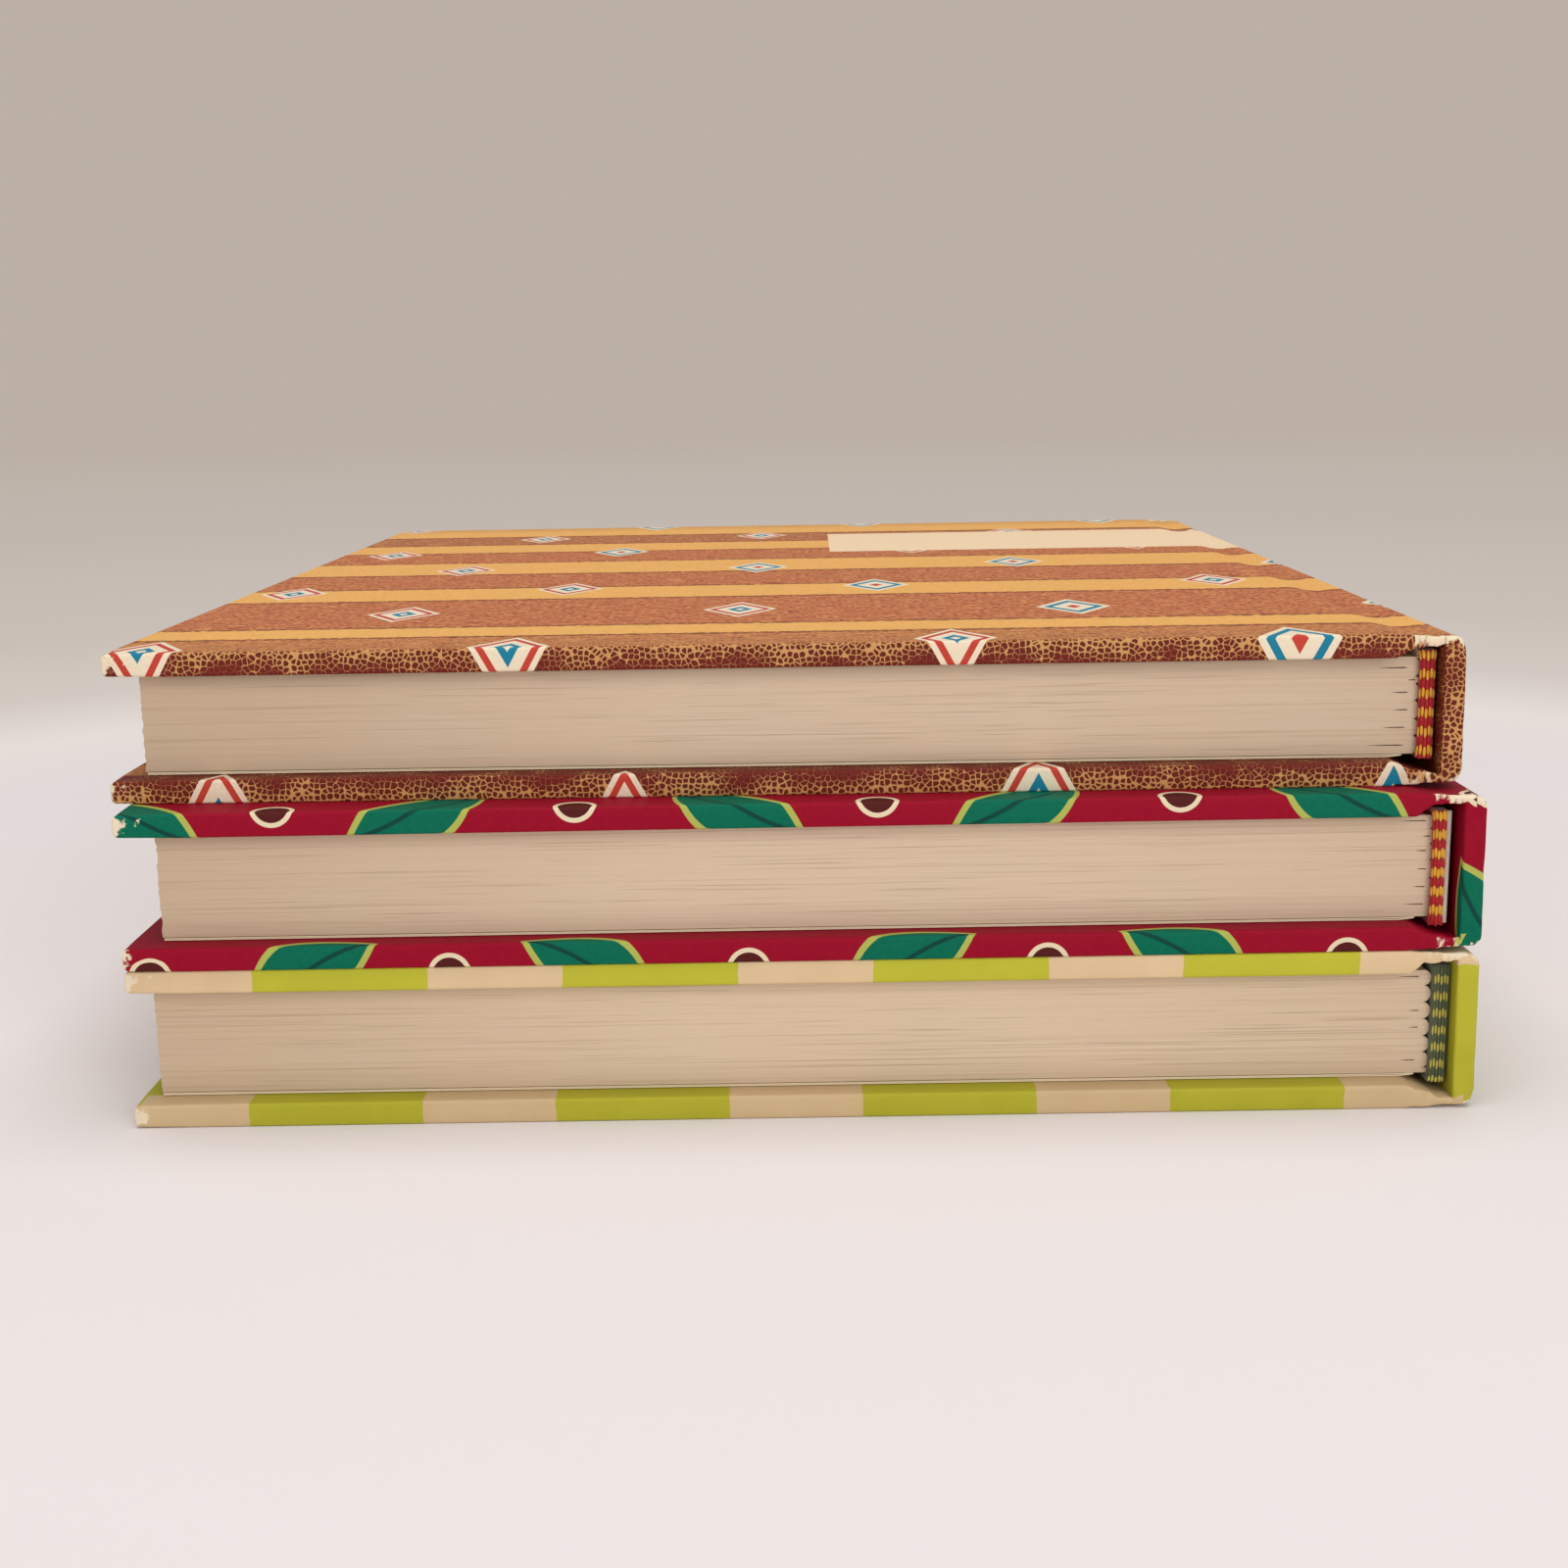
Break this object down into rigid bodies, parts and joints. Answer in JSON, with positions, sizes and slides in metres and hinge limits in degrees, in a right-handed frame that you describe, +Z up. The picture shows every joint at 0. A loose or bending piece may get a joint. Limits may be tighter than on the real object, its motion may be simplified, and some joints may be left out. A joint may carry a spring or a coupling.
{
  "type": "stack of books",
  "caption": "Stack of hardback books with printed paper covers, lying flat with their heads and spines roughly in line; the uppermost front cover opens.",
  "frame": {"origin": "the middle of the underside of the bottom book", "axes": "+X from the fore-edges towards the spines, +Y from the heads towards the tails, +Z up"},
  "size_m": [0.1708, 0.2125, 0.0593],
  "materials": {
    "greyboard": "matte",
    "endpaper": "matte",
    "book_paper": "matte",
    "lining_cloth": "matte",
    "red_yellow_silk": "satin",
    "grey_green_silk": "satin",
    "speckled_cover_paper": "satin",
    "leaf_print_cover_paper": "satin",
    "striped_cover_paper": "satin"
  },
  "bodies": {
    "root": {"bottom_back_board": "greyboard", "bottom_back_endpaper": "endpaper", "bottom_covering": "striped_cover_paper", "bottom_front_board": "greyboard", "bottom_front_endpaper": "endpaper", "bottom_head_band": "grey_green_silk", "bottom_spine_board": "greyboard", "bottom_spine_lining": "lining_cloth", "bottom_tail_band": "grey_green_silk", "bottom_text_block": "book_paper", "middle_back_board": "greyboard", "middle_back_endpaper": "endpaper", "middle_covering": "leaf_print_cover_paper", "middle_front_board": "greyboard", "middle_front_endpaper": "endpaper", "middle_head_band": "red_yellow_silk", "middle_spine_board": "greyboard", "middle_spine_lining": "lining_cloth", "middle_tail_band": "red_yellow_silk", "middle_text_block": "book_paper", "top_back_board": "greyboard", "top_back_endpaper": "endpaper", "top_covering": "speckled_cover_paper", "top_head_band": "red_yellow_silk", "top_spine_board": "greyboard", "top_spine_lining": "lining_cloth", "top_tail_band": "red_yellow_silk", "top_text_block": "book_paper", "top_front_flyleaf": "endpaper"},
    "top_front_cover": {"top_front_board": "greyboard", "top_front_covering": "speckled_cover_paper", "top_front_pastedown": "endpaper"}
  },
  "joints": [
    {"name": "top_cover_hinge", "type": "hinge", "parent": "root", "child": "top_front_cover", "pos_m": [0.07745, 0.0051, 0.0593], "axis": [0, 1, 0], "range_deg": [0, 180]}
  ]
}
